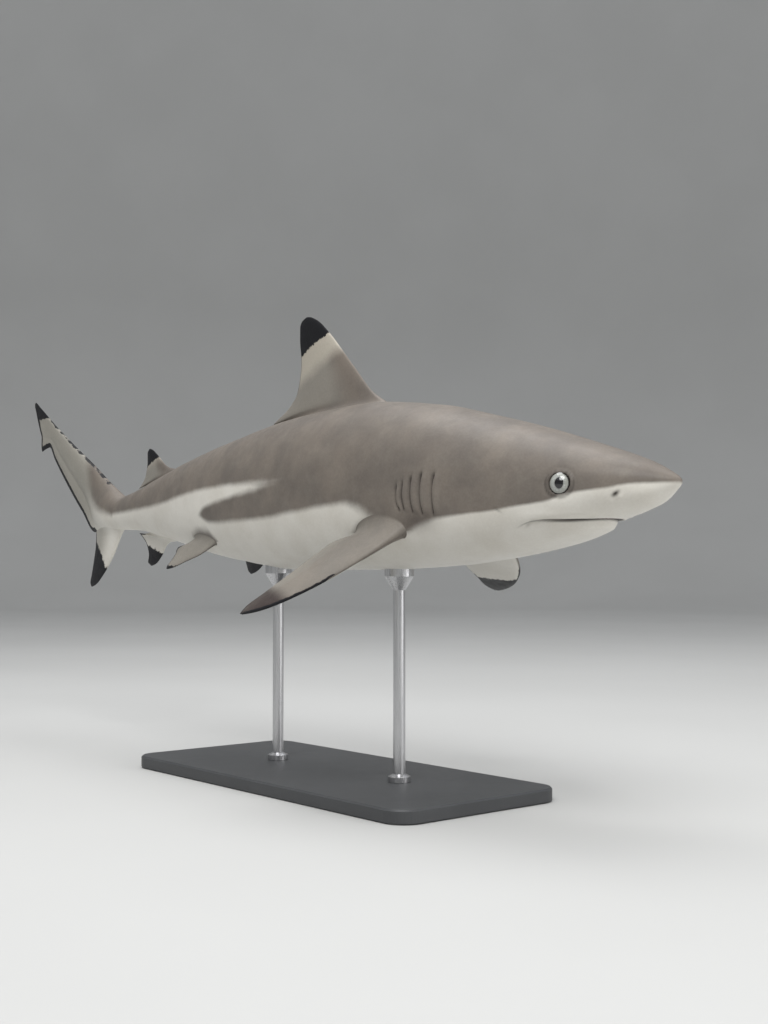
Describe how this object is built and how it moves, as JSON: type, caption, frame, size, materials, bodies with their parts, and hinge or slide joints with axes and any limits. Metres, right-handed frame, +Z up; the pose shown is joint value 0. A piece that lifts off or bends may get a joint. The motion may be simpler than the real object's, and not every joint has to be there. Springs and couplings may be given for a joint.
{
  "type": "blacktip reef shark display model",
  "caption": "Life-size still model of a swimming blacktip reef shark with black-tipped fins, held over a flat base by short rods.",
  "frame": {"origin": "centre of the stand base's underside, on the floor", "axes": "+X towards the nose, +Y to the shark's left, +Z up"},
  "size_m": [1.4011, 0.3911, 0.5772],
  "materials": {
    "skin_back": "fine sandpaper-like skin, warm grey-brown above and off-white below, satin",
    "skin_pale": "smooth off-white belly skin, satin",
    "skin_fin": "fin skin, grey-brown with jagged black tips and thin black rear edges, satin",
    "eye": "glossy eye with silvery iris and upright oval black pupil",
    "stand_base": "dark graphite satin paint",
    "stand_rod": "brushed"
  },
  "bodies": {
    "root": {"head": "skin_back", "lower_jaw": "skin_pale", "gill_region": "skin_back", "trunk_front": "skin_back", "trunk_rear": "skin_back", "tail_stem": "skin_back", "eye_left": "eye", "eye_right": "eye", "dorsal_fin_first": "skin_fin", "dorsal_fin_second": "skin_fin", "anal_fin": "skin_pale", "pectoral_fin_left": "skin_fin", "pectoral_fin_right": "skin_fin", "pelvic_fin_left": "skin_fin", "pelvic_fin_right": "skin_fin", "caudal_fin_upper": "skin_fin", "caudal_fin_lower": "skin_fin", "stand_base": "stand_base", "stand_rod_front": "stand_rod", "stand_rod_rear": "stand_rod"}
  },
  "joints": []
}
